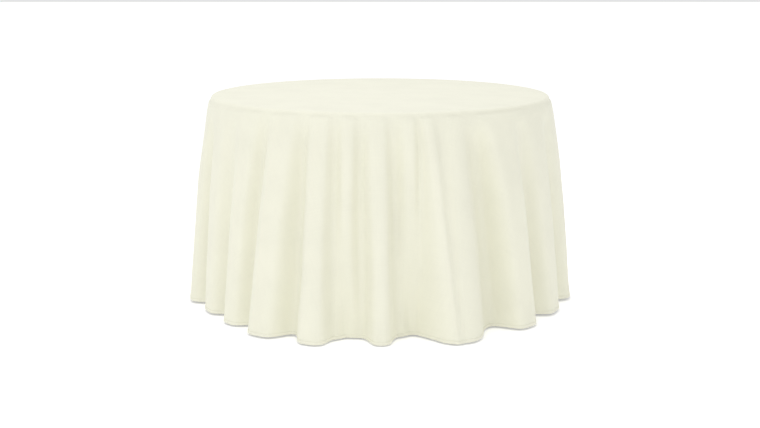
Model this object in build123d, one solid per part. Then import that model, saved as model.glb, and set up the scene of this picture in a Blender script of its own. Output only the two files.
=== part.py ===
"""A round folding table under a floor-length round tablecloth, in millimetres, +Z up.

The origin is on the floor under the table's centre. The two leg frames fold inwards about axes along Y:
the left one, at -X, on high pivots, and the right one, at +X, on low pivots, so that the right one lies
under the left one when both are folded. The right-hand pieces are made on the left and then mirrored.

The cloth stands in for soft fabric: it is a thin closed shell whose folds all stay outside the table's
edge, so that it lifts straight off.
"""
from math import atan2, ceil, cos, degrees, hypot, pi, radians, sin
import os

from build123d import *

# Table top: a hollow blow-moulded panel with a deeper lip round its edge
TABLE_HEIGHT = 743.0
TOP_RADIUS = 609.5
LIP_DEPTH = 44.0
LIP_WIDTH = 44.0
PANEL_DEPTH = 26.0
TOP_EDGE_RADIUS = 10.0
LIP_EDGE_RADIUS = 6.0
SKIN = 4.0
CEILING = TABLE_HEIGHT - PANEL_DEPTH

# Moulded cones that join the panel's two skins, in rings at a distance from the lip
CONE_RING_DISTANCES = (40.0, 100.0)
CONE_PITCH = 138.0
CONE_MOUTH_RADIUS = 13.0
CONE_TIP_RADIUS = 7.0
CONE_SKIN = 3.0

# Screws, and the moulded bosses that they go into
SCREW_RADIUS = 2.4
SCREW_LENGTH = 14.0
SCREW_HEAD_RADIUS = 4.6
SCREW_HEAD_HEIGHT = 2.2
SCREW_CLEARANCE = 0.1
BOSS_RADIUS = 8.0

# Leg frames: each one pivot tube, two wishbone loops and one crossbar
LEG_X = 400.0
HIGH_PIVOT_DROP = 37.0
PIVOT_STEP = 32.0
LEG_RAKE = 3.0
LEG_TUBE_RADIUS = 12.7
CROSSBAR_RADIUS = 9.5
TUBE_WALL = 1.2
LOOP_INNER_Y = 130.0
LOOP_TOP_WIDTH = 115.0
LOOP_FOOT_WIDTH = 80.0
LOOP_BEND = 36.0
CROSSBAR_DROP = 270.0
FOOT_PAD = 4.0
FOOT_WALL = 2.0
FOOT_HEIGHT = 34.0
FOOT_EDGE_RADIUS = 3.0

# Pivot brackets, and the plugs in the pivot tubes' ends
BRACKET_GAP = 5.0
BRACKET_SHEET = 3.0
BRACKET_HALF_LENGTH = 34.0
BRACKET_FLANGE = 40.0
BRACKET_SCREW_X = 21.0
EAR_RADIUS = 18.0
PIVOT_CLEARANCE = 0.06
TUBE_STICK_OUT = 3.0
PLUG_FLANGE = 2.0
PLUG_RIM = 0.8
PLUG_SPIGOT = 12.0
PLUG_CLEARANCE = 0.1

# Two rails along X and two straps along Y, under the panel
RAIL_HALF_LENGTH = 345.0
RAIL_WIDTH = 20.0
RAIL_HEIGHT = 20.0
RAIL_WALL = 1.5
RAIL_GAP = 14.0
RAIL_SCREW_SHARES = (-0.9, -0.3, 0.3, 0.9)
STRAP_WIDTH = 44.0
STRAP_SHEET = 2.0
STRAP_SCREW_Y = 70.0

# Folding braces, each of one upper and one lower bar side by side, and the anchors that they hang from
ANCHOR_X = 70.0
ANCHOR_RISE = 22.0
ANCHOR_SHEET = 2.5
ANCHOR_HALF_LENGTH = 16.0
ANCHOR_EAR_RADIUS = 9.0
ANCHOR_PIN_RADIUS = 4.0
ANCHOR_PIN_HEAD = 6.5
BAR_SHEET = 3.0
BAR_HALF_WIDTH = 8.0
BAR_GAP = 0.6
EAR_GAP = 0.4
EYE_WALL = 3.0
EYE_LENGTH = 16.0
COLLAR_LENGTH = 5.0
COLLAR_GAP = 0.3
ELBOW_RIVET_RADIUS = 3.2
RIVET_HEAD_RADIUS = 6.0
RIVET_HEAD_HEIGHT = 1.8
RUNNING_CLEARANCE = 0.05

# Tablecloth: it lies on the top, hangs straight past the edge, then falls in folds
CLOTH_SHEET = 1.0
CLOTH_GAP = 0.4
CLOTH_EDGE_RADIUS = 9.0
STRAIGHT_DROP = 34.0
HEM_LIFT = 6.0
HEM_HEIGHT = 12.0
HEM_SHEET = 2.4
VALLEY_FLARE = 20.0
FLARE_POWER = 0.66
SECTION_SHARES = (0.1, 0.28, 0.52, 0.78, 1.0)
POINTS_PER_SECTION = 168
# Folds round the hem: (bearing, reach beyond the valleys, half width), with bearings and half widths in
# degrees. The bearing is 0 at -Y and 90 at +X.
FOLDS = (
    (1, 82, 9), (21, 117, 10.5), (45, 78, 10), (64, 62, 9), (84, 70, 9),
    (101, 68, 8), (118, 84, 9), (137, 72, 9.5), (156, 86, 9), (173, 90, 8.5),
    (191, 84, 9), (209, 102, 9), (226, 70, 8), (243, 88, 8.5), (260, 72, 8),
    (278, 68, 8.5), (295, 52, 7.5), (311, 56, 7.5), (326, 92, 8.5), (343, 114, 9),
)


def box_between(low, high):
    size = [b - a for a, b in zip(low, high)]
    middle = [(a + b) / 2 for a, b in zip(low, high)]
    return Pos(*middle) * Box(*size)


def y_rod(radius, y_from, y_to, x=0.0, z=0.0):
    return Pos(x, (y_from + y_to) / 2, z) * Cylinder(radius, y_to - y_from, rotation=(90, 0, 0))


def z_rod(radius, z_from, z_to, x=0.0, y=0.0):
    return Pos(x, y, (z_from + z_to) / 2) * Cylinder(radius, z_to - z_from)


def xz_plate(points, y_from, y_to):
    """A flat plate of an outline given in X and Z, between two values of Y."""
    outline = Polyline([(x, y_from, z) for x, z in points], close=True)
    return extrude(make_face(outline), amount=y_to - y_from, dir=(0, 1, 0))


def rear_of(shape):
    """The same piece on the other side in Y."""
    return mirror(shape, about=Plane.XZ)


def right_of(shape):
    """The same piece on the other side in X."""
    return mirror(shape, about=Plane.YZ)


# ---------------------------------------------------------------- places shared by several pieces

def high_pivot_z():
    return CEILING - HIGH_PIVOT_DROP


def low_pivot_z():
    return high_pivot_z() - PIVOT_STEP


def leg_side_y():
    """The outermost Y of a leg frame's loops."""
    return LOOP_INNER_Y + LOOP_TOP_WIDTH + LEG_TUBE_RADIUS


def ear_y():
    """The inner face of a pivot bracket's ear."""
    return leg_side_y() + BRACKET_GAP


def rail_y():
    """The inner face of a side rail."""
    return leg_side_y() + RAIL_GAP


def bracket_screw_places():
    y = ear_y() + BRACKET_SHEET + BRACKET_FLANGE / 2
    return [(sx * LEG_X + dx, sy * y) for sx in (-1, 1) for sy in (-1, 1)
            for dx in (-BRACKET_SCREW_X, BRACKET_SCREW_X)]


def rail_screw_places():
    y = rail_y() + RAIL_WIDTH / 2
    return [(share * RAIL_HALF_LENGTH, sy * y) for share in RAIL_SCREW_SHARES for sy in (-1, 1)]


def strap_screw_places():
    return [(sx * ANCHOR_X, sy * STRAP_SCREW_Y) for sx in (-1, 1) for sy in (-1, 1)]


def all_screw_places():
    return bracket_screw_places() + rail_screw_places() + strap_screw_places()


def upper_bar_y():
    """The inner and outer faces of an upper brace bar."""
    return BAR_GAP / 2, BAR_GAP / 2 + BAR_SHEET


def lower_bar_y():
    return -BAR_GAP / 2 - BAR_SHEET, -BAR_GAP / 2


def brace_places(pivot_z):
    """A left brace's crossbar, elbow and anchor at rest, in X and Z.

    Folded, the crossbar is level with the leg's pivot and the upper bar is level too. The bars' lengths
    follow from that, and from their being in line at rest.
    """
    rake = radians(LEG_RAKE)
    crossbar = (-LEG_X - CROSSBAR_DROP * sin(rake), pivot_z - CROSSBAR_DROP * cos(rake))
    anchor = (-ANCHOR_X, pivot_z + ANCHOR_RISE)
    reach = hypot(anchor[0] - crossbar[0], anchor[1] - crossbar[1])
    overhang = LEG_X - CROSSBAR_DROP - ANCHOR_X
    rest = reach - overhang
    upper = overhang + (rest ** 2 - ANCHOR_RISE ** 2) / (2 * rest)
    share = upper / reach
    elbow = tuple(a + (c - a) * share for a, c in zip(anchor, crossbar))
    return crossbar, elbow, anchor


# ---------------------------------------------------------------- table top

def cone_places():
    """The moulded cones' centres, less those that would meet a screw boss."""
    clear = CONE_MOUTH_RADIUS + CONE_SKIN + BOSS_RADIUS
    places = []
    for distance in CONE_RING_DISTANCES:
        ring = TOP_RADIUS - LIP_WIDTH - distance
        count = 4 * ceil(pi * ring / (2 * CONE_PITCH))
        for k in range(count):
            bearing = 2 * pi * (k + 0.5) / count
            x, y = ring * cos(bearing), ring * sin(bearing)
            if all(hypot(x - a, y - b) > clear for a, b in all_screw_places()):
                places.append((x, y))
    return places


def panel_body(inset):
    """The panel and its lip as a plain solid, taken in all round by an inset."""
    edge, lip_inner = TOP_RADIUS - inset, TOP_RADIUS - LIP_WIDTH + inset
    low, high = TABLE_HEIGHT - LIP_DEPTH + inset, TABLE_HEIGHT - inset
    body = z_rod(edge, low, high) - z_rod(lip_inner, low - 1, CEILING + inset)
    rims = body.edges().filter_by(GeomType.CIRCLE).filter_by(lambda e: e.radius > edge - 0.1)
    body = fillet(rims.sort_by(Axis.Z)[-1], TOP_EDGE_RADIUS - inset)
    if inset == 0:
        rims = body.edges().filter_by(GeomType.CIRCLE).filter_by(lambda e: e.center().Z < low + 0.1)
        body = fillet(rims, LIP_EDGE_RADIUS)
    return body


def make_table_top():
    pit_depth = PANEL_DEPTH - SKIN - CONE_SKIN
    pits, sleeves = [], []
    for x, y in cone_places():
        pit = Cone(CONE_MOUTH_RADIUS, CONE_TIP_RADIUS, pit_depth)
        sleeve = Cone(CONE_MOUTH_RADIUS + CONE_SKIN, CONE_TIP_RADIUS + CONE_SKIN, PANEL_DEPTH)
        pits.append(Pos(x, y, CEILING + pit_depth / 2) * pit)
        sleeves.append(Pos(x, y, CEILING + PANEL_DEPTH / 2) * sleeve)
    bosses = [z_rod(BOSS_RADIUS, CEILING, TABLE_HEIGHT, x, y) for x, y in all_screw_places()]
    hole = SCREW_RADIUS + SCREW_CLEARANCE
    pilots = [z_rod(hole, CEILING - 1, CEILING + SCREW_LENGTH, x, y) for x, y in all_screw_places()]
    hollow = panel_body(SKIN) - sleeves - bosses
    return panel_body(0) - hollow - pits - pilots


# ---------------------------------------------------------------- frame under the panel

def make_screws(places, seat_z):
    """Pan-head screws that point up, with the flat sides of their heads at seat_z."""
    screws = []
    for x, y in places:
        shank = z_rod(SCREW_RADIUS, seat_z, CEILING + SCREW_LENGTH - 1, x, y)
        head = z_rod(SCREW_HEAD_RADIUS, seat_z - SCREW_HEAD_HEIGHT, seat_z, x, y)
        low_edge = head.edges().filter_by(GeomType.CIRCLE).sort_by(Axis.Z)[0]
        screws.append(shank + fillet(low_edge, SCREW_HEAD_HEIGHT * 0.6))
    return Compound(screws)


def make_side_rail():
    """The rear rail: a rectangular tube, with holes below its screws for the driver."""
    low = (-RAIL_HALF_LENGTH, rail_y(), CEILING - RAIL_HEIGHT)
    high = (RAIL_HALF_LENGTH, rail_y() + RAIL_WIDTH, CEILING)
    wall = RAIL_WALL
    bore = box_between((low[0] - 1, low[1] + wall, low[2] + wall), (high[0] + 1, high[1] - wall, high[2] - wall))
    rail = box_between(low, high) - bore
    for x, y in rail_screw_places():
        rail -= z_rod(SCREW_RADIUS + SCREW_CLEARANCE, CEILING - wall - 1, CEILING + 1, x, y)
        rail -= z_rod(SCREW_HEAD_RADIUS + 1, low[2] - 1, low[2] + wall + 1, x, y)
    return rail


def make_rail_plugs():
    """Four plastic plugs, each with a flange as large as the rail's section."""
    inner = RAIL_WALL + PLUG_CLEARANCE
    y_low, y_high, z_low = rail_y(), rail_y() + RAIL_WIDTH, CEILING - RAIL_HEIGHT
    flange = box_between((-RAIL_HALF_LENGTH - PLUG_FLANGE, y_low, z_low), (-RAIL_HALF_LENGTH, y_high, CEILING))
    spigot = box_between((-RAIL_HALF_LENGTH, y_low + inner, z_low + inner),
                         (-RAIL_HALF_LENGTH + PLUG_SPIGOT, y_high - inner, CEILING - inner))
    plug = flange + spigot
    return Compound([plug, rear_of(plug), right_of(plug), right_of(rear_of(plug))])


def make_strap():
    """The left strap, a flat steel strip between the rails."""
    strap = box_between((-ANCHOR_X - STRAP_WIDTH / 2, -rail_y(), CEILING - STRAP_SHEET),
                        (-ANCHOR_X + STRAP_WIDTH / 2, rail_y(), CEILING))
    for x, y in strap_screw_places():
        strap -= z_rod(SCREW_RADIUS + SCREW_CLEARANCE, CEILING - STRAP_SHEET - 1, CEILING + 1, x, y)
    return strap


def anchor_ear_faces():
    """The inner and outer faces in Y of an anchor's two ears."""
    bar_in, bar_out = upper_bar_y()
    inner = (bar_in - EAR_GAP, bar_out + EAR_GAP)
    outer = (inner[0] - ANCHOR_SHEET, inner[1] + ANCHOR_SHEET)
    return inner, outer


def make_anchor(pivot_z):
    """A left anchor: a channel of bent steel, welded under a strap, with its ears down."""
    x, z = brace_places(pivot_z)[2]
    inner, outer = anchor_ear_faces()
    top = CEILING - STRAP_SHEET
    base_z = top - ANCHOR_SHEET
    base = box_between((x - ANCHOR_HALF_LENGTH, outer[0], base_z), (x + ANCHOR_HALF_LENGTH, outer[1], top))
    sides = [(x - ANCHOR_HALF_LENGTH, base_z), (x - ANCHOR_EAR_RADIUS, z), (x + ANCHOR_EAR_RADIUS, z),
             (x + ANCHOR_HALF_LENGTH, base_z)]
    ears = xz_plate(sides, outer[0], outer[1]) + y_rod(ANCHOR_EAR_RADIUS, outer[0], outer[1], x, z)
    ears -= box_between((x - LEG_X, outer[0] - 1, base_z), (x + LEG_X, outer[1] + 1, CEILING))
    ears -= box_between((x - LEG_X, inner[0], z - LEG_X), (x + LEG_X, inner[1], base_z))
    return base + ears - y_rod(ANCHOR_PIN_RADIUS, outer[0] - 1, outer[1] + 1, x, z)


def make_anchor_pin(pivot_z):
    """A left anchor's pin, headed at both ends outside the ears."""
    x, z = brace_places(pivot_z)[2]
    low, high = anchor_ear_faces()[1]
    pin = y_rod(ANCHOR_PIN_RADIUS, low, high, x, z)
    pin += y_rod(ANCHOR_PIN_HEAD, low - RIVET_HEAD_HEIGHT, low, x, z)
    return pin + y_rod(ANCHOR_PIN_HEAD, high, high + RIVET_HEAD_HEIGHT, x, z)


def make_pivot_bracket(pivot_z):
    """The left rear pivot bracket: a screwed base, and an ear with a hole for the pivot tube."""
    y = ear_y()
    base_z = CEILING - BRACKET_SHEET
    base = box_between((-LEG_X - BRACKET_HALF_LENGTH, y, base_z),
                       (-LEG_X + BRACKET_HALF_LENGTH, y + BRACKET_SHEET + BRACKET_FLANGE, CEILING))
    sides = [(-LEG_X - BRACKET_HALF_LENGTH, base_z), (-LEG_X - EAR_RADIUS, pivot_z),
             (-LEG_X + EAR_RADIUS, pivot_z), (-LEG_X + BRACKET_HALF_LENGTH, base_z)]
    ear = xz_plate(sides, y, y + BRACKET_SHEET)
    ear += y_rod(EAR_RADIUS, y, y + BRACKET_SHEET, -LEG_X, pivot_z)
    bracket = base + ear - y_rod(LEG_TUBE_RADIUS + PIVOT_CLEARANCE, y - 1, y + BRACKET_SHEET + 1, -LEG_X, pivot_z)
    for x, sy in bracket_screw_places():
        bracket -= z_rod(SCREW_RADIUS + SCREW_CLEARANCE, base_z - 1, CEILING + 1, x, sy)
    return bracket


# ---------------------------------------------------------------- leg frames

def leg_length(pivot_z):
    """From the pivot to the middle of the tube at the foot, along the leg."""
    return (pivot_z - FOOT_PAD - LEG_TUBE_RADIUS) / cos(radians(LEG_RAKE))


def place_leg(shape, pivot_z):
    """From the leg's own frame, with its pivot at the origin and its foot straight down, to the table's."""
    return Pos(-LEG_X, 0, pivot_z) * Rot(0, LEG_RAKE, 0) * shape


def rod_loop(pivot_z, radius):
    """A rear wishbone loop as a solid rod, in the leg's own frame."""
    length = leg_length(pivot_z)
    middle = LOOP_INNER_Y + LOOP_TOP_WIDTH / 2
    top, foot = LOOP_TOP_WIDTH / 2, LOOP_FOOT_WIDTH / 2
    path = FilletPolyline((0, middle - top, 0), (0, middle - foot, -length), (0, middle + foot, -length),
                          (0, middle + top, 0), radius=LOOP_BEND)
    start = Plane(origin=path @ 0, z_dir=path % 0)
    return sweep(start * Circle(radius), path=path)


def pivot_tube_half():
    return ear_y() + BRACKET_SHEET + TUBE_STICK_OUT


def make_pivot_tube(pivot_z):
    half = pivot_tube_half()
    tube = y_rod(LEG_TUBE_RADIUS, -half, half) - y_rod(LEG_TUBE_RADIUS - TUBE_WALL, -half - 1, half + 1)
    return place_leg(tube, pivot_z)


def make_leg_loop(pivot_z):
    """The rear wishbone loop, cut to sit against the pivot tube that it is welded to."""
    loop = rod_loop(pivot_z, LEG_TUBE_RADIUS) - rod_loop(pivot_z, LEG_TUBE_RADIUS - TUBE_WALL)
    half = pivot_tube_half()
    above = box_between((-LEG_X, -half, 0), (LEG_X, half, LEG_X))
    return place_leg(loop - above - y_rod(LEG_TUBE_RADIUS, -half, half), pivot_z)


def make_crossbar(pivot_z):
    """The crossbar, cut at its ends to sit against the loops that it is welded to."""
    middle = LOOP_INNER_Y + LOOP_TOP_WIDTH / 2
    wall = LEG_TUBE_RADIUS / 2
    bar = y_rod(CROSSBAR_RADIUS, -middle, middle, 0, -CROSSBAR_DROP)
    bar -= y_rod(CROSSBAR_RADIUS - TUBE_WALL, -middle - 1, middle + 1, 0, -CROSSBAR_DROP)
    loop = rod_loop(pivot_z, LEG_TUBE_RADIUS)
    pieces = (bar - loop - rear_of(loop)).solids()
    inner = pieces.sort_by(lambda piece: abs(piece.center().Y))[0]
    assert inner.bounding_box().size.Y > 2 * (LOOP_INNER_Y - LEG_TUBE_RADIUS) - wall
    return place_leg(inner, pivot_z)


def make_pivot_plugs(pivot_z):
    half = pivot_tube_half()
    plug = y_rod(LEG_TUBE_RADIUS + PLUG_RIM, half, half + PLUG_FLANGE)
    plug += y_rod(LEG_TUBE_RADIUS - TUBE_WALL - PLUG_CLEARANCE, half - PLUG_SPIGOT, half)
    return place_leg(Compound([plug, rear_of(plug)]), pivot_z)


def make_leg_feet(pivot_z):
    """Two moulded shoes round the bottoms of the loops, flat on the floor."""
    middle = LOOP_INNER_Y + LOOP_TOP_WIDTH / 2
    x = -LEG_X - leg_length(pivot_z) * sin(radians(LEG_RAKE))
    half_x = LEG_TUBE_RADIUS + FOOT_WALL
    half_y = LOOP_FOOT_WIDTH / 2 + LEG_TUBE_RADIUS + FOOT_WALL
    shoe = box_between((x - half_x, middle - half_y, 0), (x + half_x, middle + half_y, FOOT_HEIGHT))
    shoe = fillet(shoe.edges().filter_by(Axis.Z), FOOT_EDGE_RADIUS)
    shoe -= place_leg(rod_loop(pivot_z, LEG_TUBE_RADIUS), pivot_z)
    shoe = shoe.solids().sort_by(SortBy.VOLUME)[-1]
    return Compound([shoe, rear_of(shoe)])


def make_collars(pivot_z):
    """Two collars welded round the crossbar, one on each side of the lower bar's eye."""
    bar_middle = sum(lower_bar_y()) / 2
    reach = EYE_LENGTH / 2 + COLLAR_GAP
    rings = []
    for low in (bar_middle - reach - COLLAR_LENGTH, bar_middle + reach):
        ring = y_rod(CROSSBAR_RADIUS + EYE_WALL, low, low + COLLAR_LENGTH, 0, -CROSSBAR_DROP)
        rings.append(ring - y_rod(CROSSBAR_RADIUS, low - 1, low + COLLAR_LENGTH + 1, 0, -CROSSBAR_DROP))
    return place_leg(Compound(rings), pivot_z)


# ---------------------------------------------------------------- braces

def bar_between(start, end, faces):
    """A flat bar with round ends, between two centres in X and Z."""
    turn = degrees(atan2(end[1] - start[1], end[0] - start[0]))
    length = hypot(end[0] - start[0], end[1] - start[1])
    bar = box_between((0, faces[0], -BAR_HALF_WIDTH), (length, faces[1], BAR_HALF_WIDTH))
    bar += y_rod(BAR_HALF_WIDTH, faces[0], faces[1]) + y_rod(BAR_HALF_WIDTH, faces[0], faces[1], length)
    return Pos(start[0], 0, start[1]) * Rot(0, -turn, 0) * bar


def make_upper_bar(pivot_z):
    """The upper bar, which turns on the anchor's pin and carries the elbow's rivet."""
    elbow, anchor = brace_places(pivot_z)[1:]
    faces = upper_bar_y()
    bar = bar_between(anchor, elbow, faces)
    bar -= y_rod(ANCHOR_PIN_RADIUS + RUNNING_CLEARANCE, faces[0] - 1, faces[1] + 1, *anchor)
    return bar - y_rod(ELBOW_RIVET_RADIUS, faces[0] - 1, faces[1] + 1, *elbow)


def make_elbow_rivet(pivot_z):
    """The elbow's rivet. Its shank ends flush with the upper bar's inner face."""
    elbow = brace_places(pivot_z)[1]
    low, high = upper_bar_y()
    return y_rod(ELBOW_RIVET_RADIUS, low, high, *elbow) + y_rod(RIVET_HEAD_RADIUS, high, high + RIVET_HEAD_HEIGHT,
                                                               *elbow)


def make_lower_bar(pivot_z):
    """The lower bar, with an eye that turns on the crossbar and a hole that faces the elbow's rivet."""
    crossbar, elbow = brace_places(pivot_z)[:2]
    faces = lower_bar_y()
    middle = sum(faces) / 2
    bar = bar_between(crossbar, elbow, faces)
    bar += y_rod(CROSSBAR_RADIUS + EYE_WALL, middle - EYE_LENGTH / 2, middle + EYE_LENGTH / 2, *crossbar)
    bar -= y_rod(CROSSBAR_RADIUS + RUNNING_CLEARANCE, middle - EYE_LENGTH, middle + EYE_LENGTH, *crossbar)
    return bar - y_rod(ELBOW_RIVET_RADIUS + RUNNING_CLEARANCE, faces[0] - 1, faces[1] + 1, *elbow)


# ---------------------------------------------------------------- tablecloth

def cloth_radius():
    """The outer radius of the straight part of the cloth."""
    return TOP_RADIUS + CLOTH_GAP + CLOTH_SHEET


def cloth_top():
    return TABLE_HEIGHT + CLOTH_GAP + CLOTH_SHEET


def hem_reach(bearing):
    """How far the hem is beyond the table's edge, at a bearing in degrees."""
    reach = 0.0
    for centre, height, half_width in FOLDS:
        away = abs((bearing - centre + 180) % 360 - 180)
        if away < half_width:
            reach = max(reach, height * (1 + cos(pi * away / half_width)) / 2)
    return VALLEY_FLARE + reach


def outline_points(share, inset):
    """The cloth's plan outline at a share of the way down the folds, taken in by an inset."""
    count = POINTS_PER_SECTION
    ring = []
    for k in range(count):
        bearing = 360 * k / count
        radius = cloth_radius() + hem_reach(bearing) * share ** FLARE_POWER
        ring.append((radius * sin(radians(bearing)), -radius * cos(radians(bearing))))
    points = []
    for k, (x, y) in enumerate(ring):
        ahead, behind = ring[(k + 1) % count], ring[k - 1]
        along_x, along_y = ahead[0] - behind[0], ahead[1] - behind[1]
        length = hypot(along_x, along_y)
        points.append((x - along_y / length * inset, y + along_x / length * inset))
    return points


def outline_wire(share, inset, z):
    points = [(x, y, z) for x, y in outline_points(share, inset)]
    return Wire(Edge.make_spline([Vector(*p) for p in points], periodic=True))


def fold_bottom():
    return HEM_LIFT + HEM_HEIGHT


def fold_body(inset):
    """The space inside the folds, as a solid, taken in by an inset."""
    top = cloth_top() - STRAIGHT_DROP
    start = Plane(origin=(0, 0, top), x_dir=(0, -1, 0))
    wires = [Wire(Edge.make_circle(cloth_radius() - inset, start))]
    for share in SECTION_SHARES:
        wires.append(outline_wire(share, inset, top + (fold_bottom() - top) * share))
    return Solid.make_loft(wires)


def cap_body(inset):
    """The flat top, its rounded rim and the straight band below it, as a solid."""
    body = z_rod(cloth_radius() - inset, cloth_top() - STRAIGHT_DROP, cloth_top() - inset)
    rim = body.edges().filter_by(GeomType.CIRCLE).sort_by(Axis.Z)[-1]
    return fillet(rim, CLOTH_EDGE_RADIUS - inset)


def make_tablecloth():
    outer = cap_body(0).fuse(fold_body(0))
    inner = cap_body(CLOTH_SHEET).fuse(fold_body(CLOTH_SHEET))
    return outer.cut(inner)


def make_hem():
    """The hem: the cloth's edge turned in twice, so that it is thicker than the cloth above it."""
    outer = extrude(Face(outline_wire(1.0, 0, HEM_LIFT)), amount=HEM_HEIGHT, dir=(0, 0, 1))
    inner = extrude(Face(outline_wire(1.0, HEM_SHEET, HEM_LIFT)), amount=HEM_HEIGHT, dir=(0, 0, 1))
    return outer - inner


# ---------------------------------------------------------------- assembly

def side_nodes(pivot_z, side):
    """The pieces on one side of the table, made on the left and mirrored for the right."""
    place = right_of if side == "right" else (lambda shape: shape)
    bracket = make_pivot_bracket(pivot_z)
    loop = make_leg_loop(pivot_z)
    left = {
        "pivot_bracket_rear": bracket,
        "pivot_bracket_front": rear_of(bracket),
        "cross_strap": make_strap(),
        "anchor_bracket": make_anchor(pivot_z),
        "anchor_pin": make_anchor_pin(pivot_z),
        "pivot_tube": make_pivot_tube(pivot_z),
        "leg_loop_rear": loop,
        "leg_loop_front": rear_of(loop),
        "crossbar": make_crossbar(pivot_z),
        "pivot_tube_plugs": make_pivot_plugs(pivot_z),
        "leg_feet": make_leg_feet(pivot_z),
        "crossbar_collars": make_collars(pivot_z),
        "brace_upper_bar": make_upper_bar(pivot_z),
        "brace_elbow_rivet": make_elbow_rivet(pivot_z),
        "brace_lower_bar": make_lower_bar(pivot_z),
    }
    return {f"{name}_{side}": place(shape) for name, shape in left.items()}


def all_nodes():
    rail = make_side_rail()
    nodes = {
        "table_top": make_table_top(),
        "side_rail_rear": rail,
        "side_rail_front": rear_of(rail),
        "rail_end_plugs": make_rail_plugs(),
        "bracket_screws": make_screws(bracket_screw_places(), CEILING - BRACKET_SHEET),
        "rail_screws": make_screws(rail_screw_places(), CEILING - RAIL_WALL),
        "strap_screws": make_screws(strap_screw_places(), CEILING - STRAP_SHEET),
        "tablecloth": make_tablecloth(),
        "tablecloth_hem": make_hem(),
    }
    nodes.update(side_nodes(high_pivot_z(), "left"))
    nodes.update(side_nodes(low_pivot_z(), "right"))
    return nodes


os.makedirs("parts", exist_ok=True)
for node, shape in all_nodes().items():
    shape.label = node
    export_step(shape, f"parts/{node}.step")
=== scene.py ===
"""A floor-length round tablecloth on a folding table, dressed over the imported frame.

The cloth is cut as one flat disc with a turned hem. It is draped over the table top by laying out its
folds one by one, and the cloth solver then lets it settle. The table underneath keeps its CAD shapes.
"""
import bisect
from math import atan2, cos, exp, hypot, pi, radians, sin, sqrt

import bmesh
import bpy
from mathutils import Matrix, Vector, noise


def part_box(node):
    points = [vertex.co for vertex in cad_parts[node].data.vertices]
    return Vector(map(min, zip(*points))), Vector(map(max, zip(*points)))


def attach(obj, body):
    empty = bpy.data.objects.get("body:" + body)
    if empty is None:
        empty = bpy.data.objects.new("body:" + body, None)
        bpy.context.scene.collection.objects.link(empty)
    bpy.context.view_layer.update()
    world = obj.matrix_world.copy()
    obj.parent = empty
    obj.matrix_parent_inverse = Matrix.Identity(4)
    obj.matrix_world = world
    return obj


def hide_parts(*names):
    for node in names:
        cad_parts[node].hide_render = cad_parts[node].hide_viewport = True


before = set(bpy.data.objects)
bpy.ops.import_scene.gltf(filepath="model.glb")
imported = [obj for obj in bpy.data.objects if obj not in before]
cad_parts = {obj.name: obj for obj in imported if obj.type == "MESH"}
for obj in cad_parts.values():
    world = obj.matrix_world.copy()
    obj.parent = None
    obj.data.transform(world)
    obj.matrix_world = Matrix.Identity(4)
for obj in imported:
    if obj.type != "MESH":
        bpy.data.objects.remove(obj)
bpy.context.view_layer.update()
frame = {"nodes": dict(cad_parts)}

bl_info = {
    "name": "Floor-length round tablecloth",
    "version": (1, 0, 0),
    "blender": (4, 5, 0),
    "location": "3D View > Sidebar > Tablecloth",
    "description": "Drapes a hemmed round cloth over a folding table and finishes every piece",
    "category": "Object",
}

TOP_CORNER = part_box("table_top")[1]
TABLE_HEIGHT = TOP_CORNER.z
TABLE_RADIUS = TOP_CORNER.x
LIP_DEPTH = 0.044       # the table's deeper rim, and the radius of its upper edge
TABLE_EDGE = 0.010

# ---------------------------------------------------------------- sizes and colours a user would change


def linear(code):
    """An sRGB hex colour as linear values."""
    parts = [int(code[i:i + 2], 16) / 255 for i in (0, 2, 4)]
    return tuple(p / 12.92 if p <= 0.04045 else ((p + 0.055) / 1.055) ** 2.4 for p in parts)


def length(label, text, default, **more):
    """A size in metres for the panel."""
    return bpy.props.FloatProperty(
        name=label, description=text, default=default, unit="LENGTH", precision=4, **more)


def colour(label, text, code):
    """A colour for the panel, from its sRGB hex code."""
    return bpy.props.FloatVectorProperty(
        name=label, description=text, default=linear(code), subtype="COLOR", size=3, min=0, max=1)


class ClothSizes(bpy.types.PropertyGroup):
    flat_radius: length("Flat radius", "Radius of the finished cloth lying flat, hem included", 1.362)
    thickness: length("Thickness", "Thickness of one layer of the fabric", 0.0006)
    air: length("Air", "Gap between the table and the middle of the fabric", 0.0018)
    band: length("Straight band", "How far the cloth hangs straight before its folds start", 0.016)
    hem_lift: length("Hem lift", "Gap between the hem and the floor", 0.004)
    columns: bpy.props.IntProperty(
        name="Columns", description="Yarn lines modelled round the cloth", default=560, min=120)
    rings: bpy.props.IntProperty(
        name="Rings", description="Rings modelled from the table's edge to the hem", default=58, min=12)
    settle_frames: bpy.props.IntProperty(
        name="Settling frames", description="Frames that the cloth solver runs for", default=5, min=0)


class HemSizes(bpy.types.PropertyGroup):
    width: length("Hem width", "Width of the turned hem", 0.012)
    thickness: length("Hem thickness", "Thickness of the hem's three layers", 0.0019)
    stitch_pitch: length("Stitch pitch", "Length of one stitch of the lockstitch", 0.003)
    thread: length("Thread", "Diameter of the sewing thread", 0.0005)
    seam_inset: length("Seam inset", "Distance of the stitches below the hem's upper edge", 0.002)


class FinishColours(bpy.types.PropertyGroup):
    fabric: colour("Fabric", "Ivory of the cloth", "E9E8D7")
    thread: colour("Thread", "Sewing thread, a little darker than the cloth", "E6E2CB")
    panel: colour("Panel", "Moulded table top", "D6D5CF")
    frame: colour("Tubes", "Powder coat on legs and rails", "8B8E90")
    bracket: colour("Brackets", "Powder coat on brackets and braces", "6E7173")
    zinc: colour("Screws", "Zinc plating", "C6C8C9")
    plug: colour("Plugs", "Moulded plugs", "2A2B2C")
    foot: colour("Feet", "Moulded feet", "35363A")


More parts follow.
